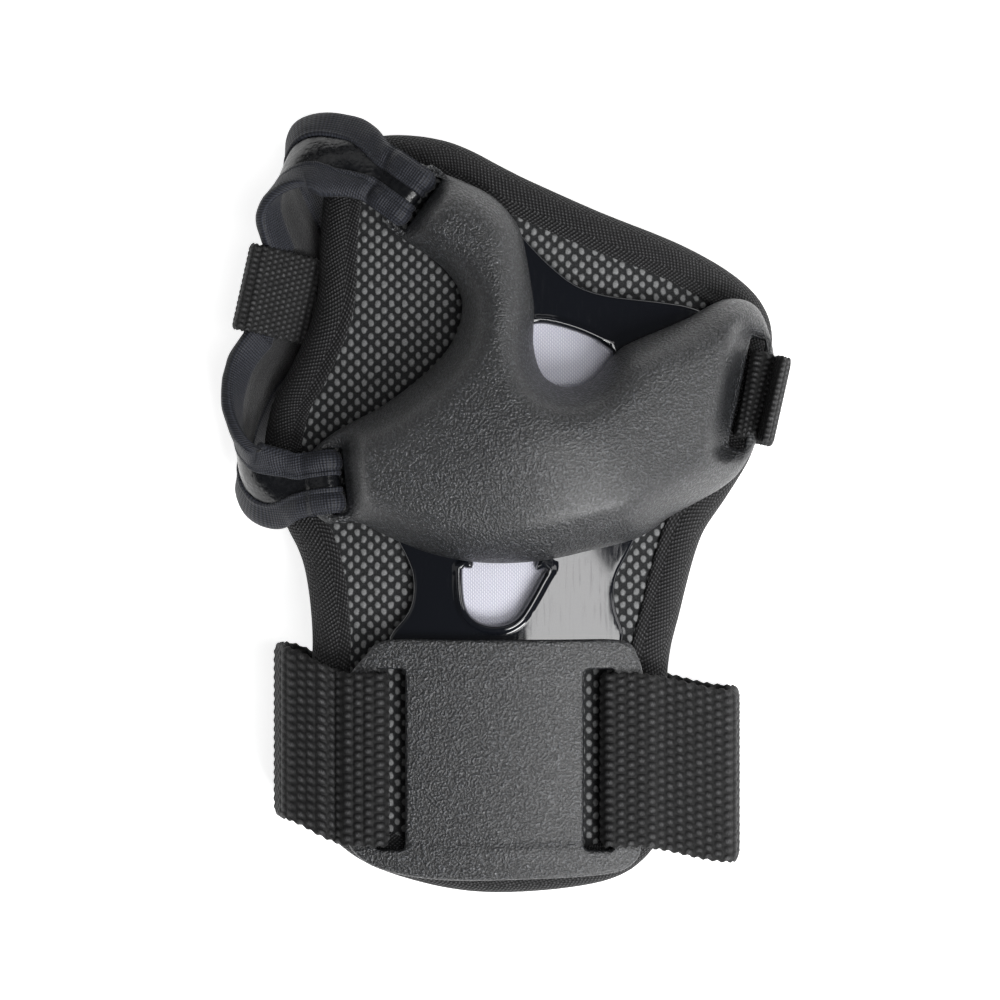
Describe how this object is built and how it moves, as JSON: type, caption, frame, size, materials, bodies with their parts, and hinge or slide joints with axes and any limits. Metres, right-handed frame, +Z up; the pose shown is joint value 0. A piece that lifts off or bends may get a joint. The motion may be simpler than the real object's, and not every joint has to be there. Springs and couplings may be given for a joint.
{
  "type": "wrist guard",
  "caption": "Palm-side skating wrist guard with a padded palm, a stiff splint under a domed cap, a slotted cuff plate, a thumb band and hook-and-loop straps behind the hand and wrist.",
  "frame": {"origin": "middle of the object's outline, on the surface it lies on", "axes": "+Z up, out of the palm; +Y towards the fingertips; +X towards the little finger"},
  "size_m": [0.1319, 0.1792, 0.0482],
  "materials": {
    "pad_lining": "knitted",
    "foam": "closed-cell foam",
    "dotted_mesh": "woven, dotted",
    "window_cloth": "fine weave",
    "binding_tape": "ribbed",
    "gloss_shell": "gloss",
    "matte_shell": "fine grain",
    "rivet_metal": "satin",
    "webbing": "coarse weave",
    "edge_ribbon": "ribbed",
    "loop_pile": "pile",
    "hook_tape": "hooks",
    "band_vinyl": "pebbled"
  },
  "bodies": {
    "guard": {"lining": "pad_lining", "foam_core": "foam", "mesh_panel": "dotted_mesh", "window_panel": "window_cloth", "edge_binding": "binding_tape", "splint": "gloss_shell", "cuff_plate": "matte_shell", "palm_cap": "matte_shell", "rivets": "rivet_metal", "rivet_washers": "rivet_metal", "wrist_loop_left": "webbing", "wrist_loop_right": "webbing", "hand_loop_right": "webbing", "thumb_tab_upper": "edge_ribbon", "thumb_tab_lower": "edge_ribbon"},
    "wrist_left": {"wrist_strap_left": "webbing", "wrist_loop_patch": "loop_pile"},
    "wrist_right": {"wrist_strap_right": "webbing"},
    "wrist_end": {"wrist_tail": "webbing", "wrist_hook_patch": "hook_tape"},
    "hand_flap": {"hand_strap_flap": "webbing", "hand_hook_patch": "hook_tape"},
    "thumb_loop": {"thumb_band": "band_vinyl", "thumb_band_pile": "loop_pile", "thumb_edge_front": "edge_ribbon", "thumb_edge_back": "edge_ribbon", "hand_strap_sleeve": "webbing"},
    "hand_run": {"hand_strap": "webbing", "hand_loop_patch": "loop_pile"}
  },
  "joints": [
    {"name": "wrist_strap_swing", "type": "hinge", "parent": "guard", "child": "wrist_right", "pos_m": [0.03606, -0.05895, 0.02878], "axis": [0, -1, 0], "range_deg": [0, 70]},
    {"name": "wrist_strap_peel", "type": "hinge", "parent": "wrist_right", "child": "wrist_end", "pos_m": [0.0462, -0.05895, 0.0009], "axis": [0, -1, 0], "range_deg": [0, 90]},
    {"name": "wrist_strap_left_swing", "type": "hinge", "parent": "guard", "child": "wrist_left", "pos_m": [-0.04001, -0.05895, 0.02774], "axis": [0, 1, 0], "range_deg": [0, 42]},
    {"name": "hand_strap_swing", "type": "hinge", "parent": "guard", "child": "hand_flap", "pos_m": [0.06386, 0.02248, 0.01613], "axis": [-0.2164, -0.9763, 0], "range_deg": [0, 90]},
    {"name": "thumb_loop_swing", "type": "hinge", "parent": "guard", "child": "thumb_loop", "pos_m": [-0.02855, 0.03625, 0.02619], "axis": [-0.2697, -0.9628, 0.0175], "range_deg": [0, 6]},
    {"name": "hand_strap_run_swing", "type": "hinge", "parent": "thumb_loop", "child": "hand_run", "pos_m": [-0.03868, 0.04521, 0.0027], "axis": [0.2164, 0.9763, 0], "range_deg": [0, 27]}
  ],
  "couplings": [
    {"joint": "wrist_strap_left_swing", "follows": "wrist_strap_swing", "ratio": 0.6},
    {"joint": "hand_strap_run_swing", "follows": "hand_strap_swing", "ratio": 0.3}
  ]
}
